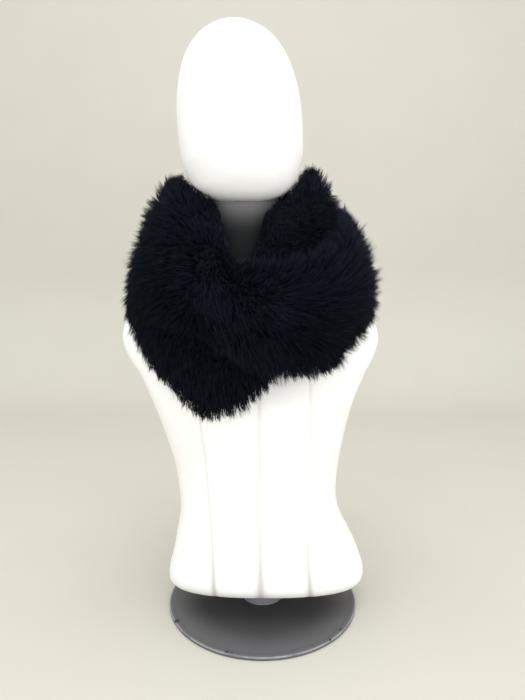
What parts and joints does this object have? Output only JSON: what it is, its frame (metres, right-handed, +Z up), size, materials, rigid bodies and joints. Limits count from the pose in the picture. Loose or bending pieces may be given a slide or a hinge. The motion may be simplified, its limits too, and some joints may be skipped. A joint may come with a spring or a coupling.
{
  "type": "faux fur snood on a limbless dress form",
  "caption": "Long-pile fur snood wound twice round the neck of a plain dress form, crossing in front, on a round standing base.",
  "frame": {"origin": "middle of the round base's underside, where the form stands", "axes": "+Z up, the form's front faces -Y, +X is to a front viewer's right"},
  "size_m": [0.386, 0.3603, 0.874],
  "materials": {
    "black_faux_fur": "matte",
    "white_jersey": "matte",
    "white_head": "matte",
    "dark_grey_steel": "satin",
    "grey_steel": "satin",
    "pole_steel": "satin"
  },
  "bodies": {
    "root": {"snood_over_front": "black_faux_fur", "snood_under_front": "black_faux_fur", "snood_low_back": "black_faux_fur", "snood_high_back": "black_faux_fur", "form_torso": "white_jersey", "form_head": "white_head", "form_pole": "pole_steel", "form_flange": "grey_steel", "form_base": "dark_grey_steel"}
  },
  "joints": []
}
